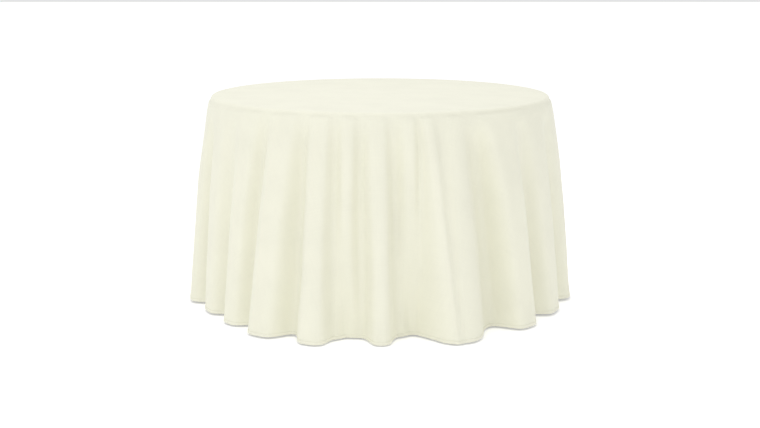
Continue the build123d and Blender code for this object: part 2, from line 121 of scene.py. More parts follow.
class StageSizes(bpy.types.PropertyGroup):
    camera_distance: length("Camera distance", "From the table's centre to the camera", 4.847)
    camera_height: length("Camera height", "Height of the camera", 1.247)
    camera_tilt: bpy.props.FloatProperty(
        name="Camera tilt", description="How far the camera looks down", default=radians(11.07),
        subtype="ANGLE")
    lens: bpy.props.FloatProperty(
        name="Lens", description="Focal length in millimetres", default=63.26, min=10)
    sky: bpy.props.FloatProperty(
        name="Fill light", description="Strength of the even white light all round", default=0.78, min=0)
    overhead: bpy.props.FloatProperty(
        name="Overhead light", description="Power of the softbox above the table", default=37.0,
        unit="POWER", min=0)
    key: bpy.props.FloatProperty(
        name="Key light", description="Power of the softbox at the left", default=21.0, unit="POWER", min=0)
    front: bpy.props.FloatProperty(
        name="Front light", description="Power of the softbox beside the camera", default=11.0,
        unit="POWER", min=0)


# ---------------------------------------------------------------- folds
# The folds as they hang round the table: ridge or valley, its bearing at the table's edge and at the hem
# (degrees, 0 at the front and 90 at +X), how far it stands beyond the table's edge at the hem, and how
# much further out a ridge or in a valley is in the upper half (mm). Last, from 0 to 1, how full a ridge is,
# or how much of the spare length a valley takes.
RIDGE, VALLEY = "ridge", "valley"
FOLDS = (
    (RIDGE, -76, -80, 90, 0, 1), (VALLEY, -69, -72.5, -10, 0, 1),
    (RIDGE, -61, -64.6, 64, 4, 0.7), (VALLEY, -52, -56, -5, 0, 1),
    (RIDGE, -41.5, -49, 78, 10, 0.7), (VALLEY, -36.5, -42, 25, 4, 0.3),
    (RIDGE, -29.5, -34.2, 115, 6, 1), (VALLEY, -22.5, -25.6, 30, 4, 0.3),
    (RIDGE, -18, -17.6, 131, 4, 1), (VALLEY, -13.2, -12.8, 44, 0, 0.1),
    (RIDGE, -9.5, -9, 14, 31, 0.3), (VALLEY, -5.7, -5.3, 10, 2, 0.3),
    (RIDGE, -0.7, 0.2, 103, 0, 0.5), (VALLEY, 3.7, 5.8, 5, 6, 0.1),
    (RIDGE, 8.8, 10.2, -20, 30, 0.3), (VALLEY, 11.7, 13.2, 10, 0, 0.1),
    (RIDGE, 13.5, 19.8, 133, 0, 0.6), (VALLEY, 17, 21.4, 134, 6, 0),
    (RIDGE, 22.5, 23, 130, 0, 0), (VALLEY, 28.5, 38, -15, 10, 0.6),
    (RIDGE, 36.5, 45, 98, 14, 0.7), (VALLEY, 47.5, 56, -10, 0, 1),
    (RIDGE, 57.5, 64.5, 78, 0, 1), (VALLEY, 66.5, 74, -20, 0, 1),
    (RIDGE, 80, 85, 90, 0, 1), (VALLEY, 92, 93, -50, 0, 1),
    (RIDGE, 99, 101, 88, 0, 1), (VALLEY, 110, 109, -40, 0, 1),
    (RIDGE, 118.5, 117, 104, 0, 1), (VALLEY, 125, 126, -60, 0, 1),
    (RIDGE, 136.5, 135, 90, 0, 1), (VALLEY, 144.5, 143.5, -45, 0, 1),
    (RIDGE, 150, 152, 106, 0, 1), (VALLEY, 160.5, 161.5, -60, 0, 1),
    (RIDGE, 172.5, 171, 118, 0, 1), (VALLEY, 181, 180, -40, 0, 1),
    (RIDGE, 190.5, 189, 96, 0, 1), (VALLEY, 196.5, 197.5, -55, 0, 1),
    (RIDGE, 204, 206, 114, 0, 1), (VALLEY, 215.5, 214.5, -45, 0, 1),
    (RIDGE, 224.5, 223, 88, 0, 1), (VALLEY, 230.5, 231.5, -50, 0, 1),
    (RIDGE, 241.5, 240, 102, 0, 1), (VALLEY, 250, 249, -40, 0, 1),
    (RIDGE, 256, 258, 88, 0, 1), (VALLEY, 269.5, 269.5, -45, 0, 1),
)
RIDGE_RISE = 0.60       # below 1, a ridge stands out early on its way down, and a valley likewise
VALLEY_RISE = 0.7
FOLD_DRIFT = 0.8        # below 1, a fold leans early to its bearing at the hem
CREASE = 0.10           # 0 is a wave, and more makes the ridges and valleys straighter-sided
PINCH_ABOVE = 3.2       # above 1, the valleys are narrower than the ridges: near the table's edge,
PINCH_BELOW = 2.7       # and near the floor
PINCH_DEPTH = 0.25      # how far down the one passes into the other
LIP_FREE = LIP_DEPTH + 0.004
LEAN_IN = 1.2           # how steeply a fold may go in under the table, below its lip
DEEPEST = -0.055        # where a valley stops, inside the table's edge
GATHERED = 0.35         # share of the spare length that the folds leave out at the hem
ROWS_ON_TOP = (0.2, 0.4, 0.58, 0.72, 0.83, 0.91, 0.965)
ROWS_ON_EDGE = 5
FINE = 2880             # points that one ring is worked out with
COARSE = 1440           # and points for finding how deep its valleys are
SOFTEN_PASSES = 2

# How the solver settles the cloth, and how much of that is kept
YARN = {"quality": 6, "mass": 0.0001, "tension_stiffness": 20, "compression_stiffness": 20,
        "shear_stiffness": 2, "bending_stiffness": 0.8, "tension_damping": 10,
        "compression_damping": 10, "shear_damping": 10, "bending_damping": 1, "pin_stiffness": 1}
CLEARANCE = 0.001
TABLE_GRIP, FLOOR_GRIP = 15, 5
SETTLE_LIMIT = 0.008    # the furthest that a point may move
SETTLE_START = 0.12     # how far down the skirt that limit grows from nothing to all of it
EVEN_PASSES = 20

# Soft creases: their height, how far down the skirt they reach it, and how many fit in a radian and a metre
CREASE_HEIGHT = 0.0011
CREASE_START = 0.09
CREASES_ACROSS, CREASES_DOWN = 9, 5.5


class Drape:
    """Works out where each point of the flat disc hangs, ring by ring from the table's edge down."""

    def __init__(self, sizes):
        self.sizes = sizes
        # Flat radius at which the skirt starts, below the rounded edge
        self.start = TABLE_RADIUS - TABLE_EDGE + TABLE_EDGE * pi / 2
        self.drop = sizes.flat_radius - self.start
        self.wall = TABLE_RADIUS + sizes.air
        self.folds = sorted(FOLDS, key=lambda fold: fold[2])

    def lines(self, down, deepen):
        """Bearing and reach of every ridge and valley at a distance down the skirt."""
        share = down / self.drop
        found = []
        for kind, above, below, reach, bulge, give in self.folds:
            bearing = above + (below - above) * share ** FOLD_DRIFT
            if kind == RIDGE:
                out = reach * share ** RIDGE_RISE + bulge * sin(pi * sqrt(share))
            else:
                out = reach * share ** VALLEY_RISE - bulge * sin(pi * sqrt(share))
            found.append([bearing, out / 1000, kind, give])
        count = len(found)
        lines = []
        for i, (bearing, out, kind, give) in enumerate(found):
            if kind == VALLEY:
                near = (found[i - 1][1] + found[(i + 1) % count][1]) / 2
                out = max(near - (near - out) * (1 + (deepen - 1) * give), DEEPEST)
            out = max(out, min(0.0, -(down - LIP_FREE) * LEAN_IN))
            lines.append((bearing, out, kind, give))
        return lines

    def ring(self, down, deepen, count):
        """Points round the skirt, with a smooth curve from each ridge to its valleys."""
        lines = self.lines(down, deepen)
        total = len(lines)
        first = lines[0][0]
        power = PINCH_BELOW + (PINCH_ABOVE - PINCH_BELOW) * exp(-down / PINCH_DEPTH)
        points = []
        i = 0
        for j in range(count):
            bearing = (360 * j / count - first) % 360 + first
            while True:
                here, out, kind, fill = lines[i]
                there, further, _, next_fill = lines[(i + 1) % total]
                there += 360 if i == total - 1 else 0
                if here - 1e-9 <= bearing <= there + 1e-9:
                    break
                i = (i + 1) % total
            along = (bearing - here) / (there - here)
            along -= CREASE * sin(2 * pi * along) / pi
            from_ridge = along if kind == RIDGE else 1 - along
            fullness = fill if kind == RIDGE else next_fill
            turned = ((1 - cos(pi * from_ridge)) / 2) ** (1 + (power - 1) * fullness)
            across = turned if kind == RIDGE else 1 - turned
            radius = self.wall + out + (further - out) * across
            angle = radians(bearing)
            points.append((radius * sin(angle), -radius * cos(angle)))
        return points

    def deepening(self, down):
        """How deep the valleys have to be for the ring to be as long as the cloth is there."""
        spare = max(0.0, down - self.sizes.band) * (1 - GATHERED * down / self.drop)
        wanted = 2 * pi * (self.wall + spare)
        low, high = 0.0, 3.0
        for _ in range(14):
            middle = (low + high) / 2
            points = self.ring(down, middle, COARSE)
            around = sum(hypot(a[0] - b[0], a[1] - b[1]) for a, b in zip(points, points[-1:] + points))
            if around < wanted:
                low = middle
            else:
                high = middle
        return (low + high) / 2

    def spread(self, down):
        """The skirt's points at one ring, each yarn line at its own share of the way round."""
        deepen = self.deepening(down)
        points = self.ring(down, deepen, FINE)
        run = [0.0]
        for j in range(FINE):
            a, b = points[j], points[(j + 1) % FINE]
            run.append(run[-1] + hypot(b[0] - a[0], b[1] - a[1]))
        anchors = []
        for fold, (bearing, *_) in zip(self.folds, self.lines(down, deepen)):
            place = (bearing % 360) / 360 * FINE
            whole = int(place) % FINE
            anchors.append((fold[1] % 360, run[whole] + (run[whole + 1] - run[whole]) * (place % 1)))
        anchors.sort()
        count = len(anchors)
        columns = self.sizes.columns
        ring = []
        for j in range(columns):
            bearing = 360 * j / columns
            q = bisect.bisect_right([anchor[0] for anchor in anchors], bearing) - 1
            start, run_start = anchors[q]
            end, run_end = anchors[(q + 1) % count]
            start -= 360 if q == -1 else 0
            end += 360 if q == count - 1 else 0
            gone = (run_end - run_start) % run[-1] * (bearing - start) / (end - start)
            place = (run_start + gone) % run[-1]
            k = min(bisect.bisect_right(run, place) - 1, FINE - 1)
            t = (place - run[k]) / (run[k + 1] - run[k])
            a, b = points[k], points[(k + 1) % FINE]
            ring.append((a[0] + (b[0] - a[0]) * t, a[1] + (b[1] - a[1]) * t))
        return ring

    def rings(self):
        """(flat radius, points) of every ring from the middle of the table to the hem's edge."""
        columns = self.sizes.columns
        turn = [(sin(2 * pi * j / columns), -cos(2 * pi * j / columns)) for j in range(columns)]
        air = self.sizes.air
        top = TABLE_HEIGHT + air
        rings = []
        for share in ROWS_ON_TOP:
            r = share * (TABLE_RADIUS - TABLE_EDGE)
            rings.append((r, [(r * s, r * c, top) for s, c in turn]))
        for step in range(ROWS_ON_EDGE):
            angle = step / (ROWS_ON_EDGE - 1) * pi / 2
            r = TABLE_RADIUS - TABLE_EDGE + (TABLE_EDGE + air) * sin(angle)
            z = TABLE_HEIGHT - TABLE_EDGE + (TABLE_EDGE + air) * cos(angle)
            flat = TABLE_RADIUS - TABLE_EDGE + TABLE_EDGE * angle
            rings.append((flat, [(r * s, r * c, z) for s, c in turn]))
        self.flat_rings = len(rings)
        for down, step in self.steps():
            flat_ring = self.spread(down)
            above = rings[-1][1]
            ring = []
            for (x, y), (px, py, pz) in zip(flat_ring, above):
                aside = (x - px) ** 2 + (y - py) ** 2
                ring.append((x, y, pz - sqrt(max(step * step - aside, (0.6 * step) ** 2))))
            rings.append((self.start + down, ring))
        return self.level_hem(rings)

    def level_hem(self, rings):
        """Lengthens or shortens each yarn line a little, so that the hem just clears the floor all round."""
        first = self.flat_rings - 1
        above = rings[first][1][0][2]
        shares = [(above - self.sizes.hem_lift) / (above - z) for _, _, z in rings[-1][1]]
        for _, ring in rings[first + 1:]:
            ring[:] = [(x, y, above - (above - z) * share) for (x, y, z), share in zip(ring, shares)]
        return rings

    def steps(self):
        """(distance down, step) of every ring of the skirt. The last two are the hem's."""
        hem = bpy.context.scene.hem_sizes.width
        body = self.drop - hem
        count = self.sizes.rings
        step = body / count
        for i in range(count):
            yield step * (i + 1), step
        for i in (1, 2):
            yield body + hem / 2 * i, hem / 2


def soften(rings, first, times):
    """Evens out the skirt along its columns and round its rings, with its heights kept."""
    for _ in range(times):
        new = list(rings)
        for i in range(first, len(rings)):
            flat, ring = rings[i]
            up = rings[i - 1][1]
            down = rings[min(i + 1, len(rings) - 1)][1]
            count = len(ring)
            out = []
            for j, (x, y, z) in enumerate(ring):
                a, b = ring[j - 1], ring[(j + 1) % count]
                mx = (a[0] + b[0] + up[j][0] + down[j][0]) / 4
                my = (a[1] + b[1] + up[j][1] + down[j][1]) / 4
                out.append(((x + mx) / 2, (y + my) / 2, z))
            new[i] = (flat, out)
        rings = new
    return rings


# ---------------------------------------------------------------- small tools


def add_node(tree, kind, settings=None, values=None, links=None):
    """A new node with its settings, its sockets' values and its incoming links."""
    made = tree.nodes.new(kind)
    for name, value in (settings or {}).items():
        setattr(made, name, value)
    for name, value in (values or {}).items():
        made.inputs[name].default_value = value
    for name, source in (links or {}).items():
        tree.links.new(source, made.inputs[name])
    return made


def new_material(name, colour_rgb, **values):
    """A material with one principled shader, and its tree, shader and plain colour."""
    material = bpy.data.materials.new(name)
    material.use_nodes = True
    material.diffuse_color = (*colour_rgb, 1)
    tree = material.node_tree
    shader = tree.nodes["Principled BSDF"]
    shader.inputs["Base Color"].default_value = (*colour_rgb, 1)
    for socket, value in values.items():
        shader.inputs[socket.replace("_", " ")].default_value = value
    return material, tree, shader


def shades(rgb, *factors):
    """The colour and darker or lighter ones of the same hue."""
    return [(*[min(1.0, part * factor) for part in rgb], 1) for factor in factors]


def select_none():
    """Object mode with nothing selected."""
    if bpy.context.mode != "OBJECT":
        bpy.ops.object.mode_set(mode="OBJECT")
    bpy.ops.object.select_all(action="DESELECT")


def new_object(name, mesh):
    """An object in the scene that holds the mesh, light or camera."""
    made = bpy.data.objects.new(name, mesh)
    bpy.context.scene.collection.objects.link(made)
    return made


def make_active(piece):
    """Selects the piece alone, as operators need it."""
    select_none()
    piece.select_set(True)
    bpy.context.view_layer.objects.active = piece


def apply_modifier(piece, kind, **settings):
    """Adds a modifier with its settings and applies it."""
    make_active(piece)
    modifier = piece.modifiers.new(kind.title(), kind)
    for name, value in settings.items():
        setattr(modifier, name, value)
    bpy.ops.object.modifier_apply(modifier=modifier.name)


# ---------------------------------------------------------------- materials


def woven_polyester(name, rgb):
    """Spun polyester in a plain weave: matt, with a soft sheen at grazing angles. Its yarns lie 0.4 mm
    apart, too fine to show, so the weave is drawn 3 mm apart. Thicker yarns make faint long streaks,
    and the cloth keeps faint rumples about 30 mm across."""
    material, tree, shader = new_material(name, rgb, Roughness=0.86, IOR=1.46)
    shader.inputs["Sheen Weight"].default_value = 0.18
    shader.inputs["Sheen Roughness"].default_value = 0.45
    shader.inputs["Specular IOR Level"].default_value = 0.25
    pitch = 0.003
    flat = add_node(tree, "ShaderNodeUVMap", {"uv_map": "flat_cut"})
    axes = add_node(tree, "ShaderNodeSeparateXYZ", links={0: flat.outputs["UV"]})
    yarns = []
    for axis in ("X", "Y"):
        turns = add_node(tree, "ShaderNodeMath", {"operation": "MULTIPLY"},
                         {1: 2 * pi / pitch}, {0: axes.outputs[axis]})
        yarns.append(add_node(tree, "ShaderNodeMath", {"operation": "SINE"}, links={0: turns.outputs[0]}))
    weave = add_node(tree, "ShaderNodeMath", {"operation": "MULTIPLY"},
                     links={0: yarns[0].outputs[0], 1: yarns[1].outputs[0]})
    streaks = []
    for stretch in ((260, 9, 1), (9, 260, 1)):
        place = add_node(tree, "ShaderNodeVectorMath", {"operation": "MULTIPLY"}, {1: stretch},
                         {0: flat.outputs["UV"]})
        streaks.append(add_node(tree, "ShaderNodeTexNoise", {"noise_dimensions": "2D"},
                                {"Scale": 1.0, "Detail": 2.0}, {"Vector": place.outputs[0]}))
    slubs = add_node(tree, "ShaderNodeMath", {"operation": "ADD"},
                     links={0: streaks[0].outputs["Fac"], 1: streaks[1].outputs["Fac"]})
    clouds = add_node(tree, "ShaderNodeTexNoise", {"noise_dimensions": "2D"},
                      {"Scale": 7.0, "Detail": 3.0, "Roughness": 0.55}, {"Vector": flat.outputs["UV"]})
    tone = add_node(tree, "ShaderNodeMath", {"operation": "MULTIPLY_ADD"}, {1: 0.35},
                    {0: slubs.outputs[0], 2: clouds.outputs["Fac"]})
    ramp = add_node(tree, "ShaderNodeValToRGB", links={"Fac": tone.outputs[0]})
    ramp.color_ramp.elements[0].position = 0.55
    ramp.color_ramp.elements[1].position = 1.0
    dark, light = shades(rgb, 0.975, 1.01)
    ramp.color_ramp.elements[0].color = dark
    ramp.color_ramp.elements[1].color = light
    between = add_node(tree, "ShaderNodeMapRange", {},
                       {"From Min": -1.0, "From Max": 1.0, "To Min": 0.975, "To Max": 1.0},
                       {"Value": weave.outputs[0]})
    cloth_colour = add_node(tree, "ShaderNodeMix", {"data_type": "RGBA", "blend_type": "MULTIPLY"},
                            {"Factor": 1.0}, {"A": ramp.outputs["Color"], "B": between.outputs[0]})
    tree.links.new(cloth_colour.outputs["Result"], shader.inputs["Base Color"])
    crumple = add_node(tree, "ShaderNodeTexNoise", {"noise_dimensions": "2D"},
                       {"Scale": 34.0, "Detail": 3.0, "Roughness": 0.5}, {"Vector": flat.outputs["UV"]})
    creases = add_node(tree, "ShaderNodeBump", {}, {"Strength": 0.35, "Distance": 0.0012},
                       {"Height": crumple.outputs["Fac"]})
    raised = add_node(tree, "ShaderNodeMath", {"operation": "MULTIPLY_ADD"}, {1: 0.25},
                      {0: slubs.outputs[0], 2: weave.outputs[0]})
    bump = add_node(tree, "ShaderNodeBump", {}, {"Strength": 0.22, "Distance": 0.00025},
                    {"Height": raised.outputs[0], "Normal": creases.outputs["Normal"]})
    tree.links.new(bump.outputs["Normal"], shader.inputs["Normal"])
    return material


def spun_thread(rgb):
    """Polyester sewing thread: two plies twisted together, with a slight lustre. One twist is 0.6 mm long,
    too fine to show, so it is drawn about 2 mm long."""
    material, tree, shader = new_material("spun_polyester_thread", rgb, Roughness=0.62, IOR=1.5)
    shader.inputs["Sheen Weight"].default_value = 0.3
    place = add_node(tree, "ShaderNodeTexCoord")
    twist = add_node(tree, "ShaderNodeTexWave", {"bands_direction": "DIAGONAL"},
                     {"Scale": 260.0, "Distortion": 1.5}, {"Vector": place.outputs["Object"]})
    dark, light = shades(rgb, 0.84, 1.0)
    ramp = add_node(tree, "ShaderNodeValToRGB", links={"Fac": twist.outputs["Fac"]})
    ramp.color_ramp.elements[0].color = dark
    ramp.color_ramp.elements[1].color = light
    bump = add_node(tree, "ShaderNodeBump", {}, {"Strength": 0.5, "Distance": 0.0001},
                    {"Height": twist.outputs["Fac"]})
    tree.links.new(ramp.outputs["Color"], shader.inputs["Base Color"])
    tree.links.new(bump.outputs["Normal"], shader.inputs["Normal"])
    return material


def speckled(name, rgb, dark, light, size, depth, grain, strength, roughness, **values):
    """A moulded or coated surface: a speckled colour, and a fine grain or peel in relief."""
    material, tree, shader = new_material(name, rgb, Roughness=roughness, **values)
    place = add_node(tree, "ShaderNodeTexCoord")
    spots = add_node(tree, "ShaderNodeTexNoise", {}, {"Scale": 1 / size, "Detail": 4.0, "Roughness": 0.65},
                     {"Vector": place.outputs["Object"]})
    wide = add_node(tree, "ShaderNodeTexNoise", {}, {"Scale": 6.0, "Detail": 2.0},
                    {"Vector": place.outputs["Object"]})
    tone = add_node(tree, "ShaderNodeMath", {"operation": "MULTIPLY_ADD"}, {1: 0.4},
                    {0: wide.outputs["Fac"], 2: spots.outputs["Fac"]})
    ramp = add_node(tree, "ShaderNodeValToRGB", links={"Fac": tone.outputs[0]})
    ramp.color_ramp.elements[0].position = 0.5
    ramp.color_ramp.elements[1].position = 0.9
    first, second = shades(rgb, dark, light)
    ramp.color_ramp.elements[0].color = first
    ramp.color_ramp.elements[1].color = second
    tree.links.new(ramp.outputs["Color"], shader.inputs["Base Color"])
    rough = add_node(tree, "ShaderNodeMapRange", {}, {"To Min": roughness - 0.08, "To Max": roughness + 0.1},
                     {"Value": tone.outputs[0]})
    tree.links.new(rough.outputs[0], shader.inputs["Roughness"])
    relief = add_node(tree, "ShaderNodeTexVoronoi", {"feature": "SMOOTH_F1"}, {"Scale": 1 / grain},
                      {"Vector": place.outputs["Object"]})
    bump = add_node(tree, "ShaderNodeBump", {}, {"Strength": strength, "Distance": depth},
                    {"Height": relief.outputs["Distance"]})
    tree.links.new(bump.outputs["Normal"], shader.inputs["Normal"])
    return material


def pebbled_panel(rgb):
    """Blow-moulded HDPE: waxy, with the pebbled grain of its mould, 2.5 mm across."""
    return speckled("blow_moulded_hdpe", rgb, 0.94, 1.03, 0.004, 0.0004, 0.0025, 0.5, 0.52, IOR=1.54)


def coated_tube(name, rgb):
    """Powder-coated steel tube: an even satin colour with the coat's orange peel, 1.5 mm across."""
    return speckled(name, rgb, 0.9, 1.06, 0.003, 0.00012, 0.0015, 0.45, 0.42, IOR=1.5)


def moulded_plastic(name, rgb, roughness):
    """Injection-moulded plastic: dull and nearly black, with a spark-eroded grain, 0.8 mm across."""
    return speckled(name, rgb, 0.8, 1.25, 0.002, 0.00008, 0.0008, 0.5, roughness, IOR=1.49)


def zinc_plating(rgb):
    """Zinc-plated steel: bright metal with a mottled lustre and fine marks. The marks are drawn about 1 mm
    apart, coarser than the real ones, so that they show."""
    material, tree, shader = new_material("zinc_plated_steel", rgb, Roughness=0.34, Metallic=1.0)
    place = add_node(tree, "ShaderNodeTexCoord")
    marks = add_node(tree, "ShaderNodeTexNoise", {}, {"Scale": 900.0, "Detail": 2.0},
                     {"Vector": place.outputs["Object"]})
    cloud = add_node(tree, "ShaderNodeTexNoise", {}, {"Scale": 120.0, "Detail": 3.0},
                     {"Vector": place.outputs["Object"]})
    dark, light = shades(rgb, 0.8, 1.05)
    ramp = add_node(tree, "ShaderNodeValToRGB", links={"Fac": cloud.outputs["Fac"]})
    ramp.color_ramp.elements[0].color = dark
    ramp.color_ramp.elements[1].color = light
    rough = add_node(tree, "ShaderNodeMapRange", {}, {"To Min": 0.24, "To Max": 0.48},
                     {"Value": cloud.outputs["Fac"]})
    bump = add_node(tree, "ShaderNodeBump", {}, {"Strength": 0.3, "Distance": 0.00005},
                    {"Height": marks.outputs["Fac"]})
    tree.links.new(ramp.outputs["Color"], shader.inputs["Base Color"])
    tree.links.new(rough.outputs[0], shader.inputs["Roughness"])
    tree.links.new(bump.outputs["Normal"], shader.inputs["Normal"])
    return material


def finish_nodes(material, *names):
    """Gives CAD nodes, found by the start of their names, a material."""
    found = [n for n in frame["nodes"] if any(n.startswith(name) for name in names)]
    if not found:
        raise RuntimeError(f"no CAD node's name starts with {names}")
    for name in found:
        node = frame["nodes"][name]
        if not node.material_slots:
            node.data.materials.append(None)
        for place in node.material_slots:
            place.material = material


# ---------------------------------------------------------------- the cloth


def cloth_mesh(rings):
    """The draped disc as a mesh: a fan in the middle and rings of quads, with the flat cut kept as an
    attribute, which is also its UV map, in metres."""
    mesh = bmesh.new()
    flat_layer = mesh.verts.layers.float_vector.new("flat")
    centre = mesh.verts.new((0, 0, rings[0][1][0][2]))
    grid = []
    for flat, ring in rings:
        row = []
        count = len(ring)
        for j, point in enumerate(ring):
            vertex = mesh.verts.new(point)
            vertex[flat_layer] = (flat * sin(2 * pi * j / count), -flat * cos(2 * pi * j / count), 0)
            row.append(vertex)
        grid.append(row)
    for a, b in zip(grid[0], grid[0][1:] + grid[0][:1]):
        mesh.faces.new((centre, a, b))
    for upper, lower in zip(grid, grid[1:]):
        for j in range(len(upper)):
            k = (j + 1) % len(upper)
            mesh.faces.new((upper[j], lower[j], lower[k], upper[k]))
    uv = mesh.loops.layers.uv.new("flat_cut")
    for face in mesh.faces:
        face.smooth = True
        for loop in face.loops:
            place = loop.vert[flat_layer]
            loop[uv].uv = (place[0], place[1])
    made = bpy.data.meshes.new("draped_cloth")
    mesh.to_mesh(made)
    mesh.free()
    return made


def evened(moves, columns, times):
    """The moves of a disc's points, each drawn towards its neighbours' mean so that no crease stays."""
    for _ in range(times):
        before = moves
        moves = list(before)
        last = len(before) - columns
        for i in range(1 + columns, len(before)):
            ring = (i - 1) // columns * columns + 1
            left = before[ring + (i - ring - 1) % columns]
            right = before[ring + (i - ring + 1) % columns]
            below = before[i + columns] if i < last else before[i]
            moves[i] = (before[i] * 2 + left + right + before[i - columns] + below) / 6
    return moves


def settle(piece, drape, frames):
    """Lets the cloth solver settle the skirt over the table and the floor, and applies the result."""
    sizes = drape.sizes
    flat = [Vector(item.vector) for item in piece.data.attributes["flat"].data]
    piece.shape_key_add(name="Basis")
    cut = piece.shape_key_add(name="cut")
    for i, place in enumerate(flat):
        radius = place.length
        if radius <= drape.start:
            cut.data[i].co = place
            continue
        down = radius - drape.start
        out = drape.wall + max(0.0, down - sizes.band)
        cut.data[i].co = (*(place.xy / radius * out), -min(down, sizes.band))
    pinned = piece.vertex_groups.new(name="pinned")
    pinned.add([i for i, place in enumerate(flat) if place.length < drape.start + 0.001], 1.0, "REPLACE")
    select_none()
    bpy.ops.mesh.primitive_cylinder_add(
        vertices=256, radius=TABLE_RADIUS, depth=LIP_DEPTH, location=(0, 0, TABLE_HEIGHT - LIP_DEPTH / 2))
    table = bpy.context.object
    apply_modifier(table, "BEVEL", width=TABLE_EDGE, segments=6, limit_method="ANGLE")
    select_none()
    bpy.ops.mesh.primitive_plane_add(size=6, location=(0, 0, CLEARANCE))
    ground = bpy.context.object
    for solid, grip in ((table, TABLE_GRIP), (ground, FLOOR_GRIP)):
        solid.modifiers.new("Collision", "COLLISION")
        solid.collision.thickness_outer = CLEARANCE
        solid.collision.cloth_friction = grip
    solver = piece.modifiers.new("Cloth", "CLOTH")
    for name, value in YARN.items():
        setattr(solver.settings, name, value)
    solver.settings.vertex_group_mass = pinned.name
    solver.settings.rest_shape_key = cut
    solver.collision_settings.distance_min = CLEARANCE
    solver.collision_settings.collision_quality = 2
    solver.point_cache.frame_start = 1
    solver.point_cache.frame_end = frames + 1
    scene = bpy.context.scene
    for step in range(1, frames + 1):
        scene.frame_set(step)
    settled = bpy.data.meshes.new_from_object(piece.evaluated_get(bpy.context.evaluated_depsgraph_get()))
    moves = [after.co - before.co for after, before in zip(settled.vertices, piece.data.vertices)]
    piece.modifiers.clear()
    piece.shape_key_clear()
    piece.vertex_groups.clear()
    for i, (move, place) in enumerate(zip(moves, flat)):
        limit = SETTLE_LIMIT * min(1.0, max(0.0, place.length - drape.start) / SETTLE_START)
        moves[i] = move * min(1.0, limit / max(move.length, 1e-6))
    for vertex, move in zip(piece.data.vertices, evened(moves, sizes.columns, EVEN_PASSES)):
        vertex.co += move
    bpy.data.meshes.remove(settled)
    scene.frame_set(1)
    for solid in (table, ground):
        bpy.data.objects.remove(solid)


def wrinkle(mesh, drape):
    """Faint soft creases in the fabric, longer down the skirt than across it."""
    flat = [Vector(item.vector) for item in mesh.attributes["flat"].data]
    shifts = []
    for vertex, place in zip(mesh.vertices, flat):
        down = max(0.0, place.length - drape.start)
        bearing = atan2(place.x, -place.y)
        spot = Vector((bearing * CREASES_ACROSS, down * CREASES_DOWN, 0.3))
        size = CREASE_HEIGHT * min(1.0, down / CREASE_START)
        shifts.append(vertex.normal * (noise.noise(spot) + 0.5 * noise.noise(spot * 2.3)) * size)
    for vertex, shift in zip(mesh.vertices, shifts):
        vertex.co += shift


def cut_away(mesh, keep):
    """Deletes the faces whose corners' flat radii don't all pass the test."""
    work = bmesh.new()
    work.from_mesh(mesh)
    layer = work.verts.layers.float_vector["flat"]
    gone = [f for f in work.faces if not all(keep(v[layer].length) for v in f.verts)]
    bmesh.ops.delete(work, geom=gone, context="FACES")
    work.to_mesh(mesh)
    work.free()


class DrapeCloth(bpy.types.Operator):
    """Drape the round cloth over the table and give it its fabric"""
    bl_idname = "tablecloth.drape_cloth"
    bl_label = "Drape cloth"

    def execute(self, context):
        scene = context.scene
        sizes, hem = scene.cloth_sizes, scene.hem_sizes
        drape = Drape(sizes)
        rings = drape.rings()
        rings = soften(rings, drape.flat_rings + 1, SOFTEN_PASSES)
        whole = new_object("whole_cloth", cloth_mesh(rings))
        if sizes.settle_frames:
            settle(whole, drape, sizes.settle_frames)
        wrinkle(whole.data, drape)
        if len(whole.data.vertices) != 1 + len(rings) * sizes.columns:
            raise RuntimeError("the settled cloth lost points")
        hem_line = sizes.flat_radius - hem.width
        panel = new_object("ivory_cloth_panel", whole.data.copy())
        cut_away(panel.data, lambda radius: radius < hem_line + hem.width * 0.6)
        fabric = woven_polyester("ivory_spun_polyester", scene.finish_colours.fabric)
        panel.data.materials.append(fabric)
        apply_modifier(panel, "SOLIDIFY", thickness=sizes.thickness, offset=0)
        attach(panel, "cloth")
        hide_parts("tablecloth")
        return {"FINISHED"}


class TurnHem(bpy.types.Operator):
    """Turn and press the hem round the cloth's edge, as three layers of the fabric"""
    bl_idname = "tablecloth.turn_hem"
    bl_label = "Turn hem"

    def execute(self, context):
        scene = context.scene
        sizes, hem = scene.cloth_sizes, scene.hem_sizes
        whole = bpy.data.objects["whole_cloth"]
        hem_line = sizes.flat_radius - hem.width
        band = new_object("turned_hem", whole.data.copy())
        cut_away(band.data, lambda radius: radius > hem_line - 0.0005)
        band.data.materials.append(bpy.data.materials["ivory_spun_polyester"])
        apply_modifier(band, "SOLIDIFY", thickness=hem.thickness, offset=0)
        apply_modifier(band, "BEVEL", width=hem.thickness * 0.35, segments=2, limit_method="ANGLE",
                       angle_limit=radians(60))
        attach(band, "cloth")
        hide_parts("tablecloth_hem")
        return {"FINISHED"}


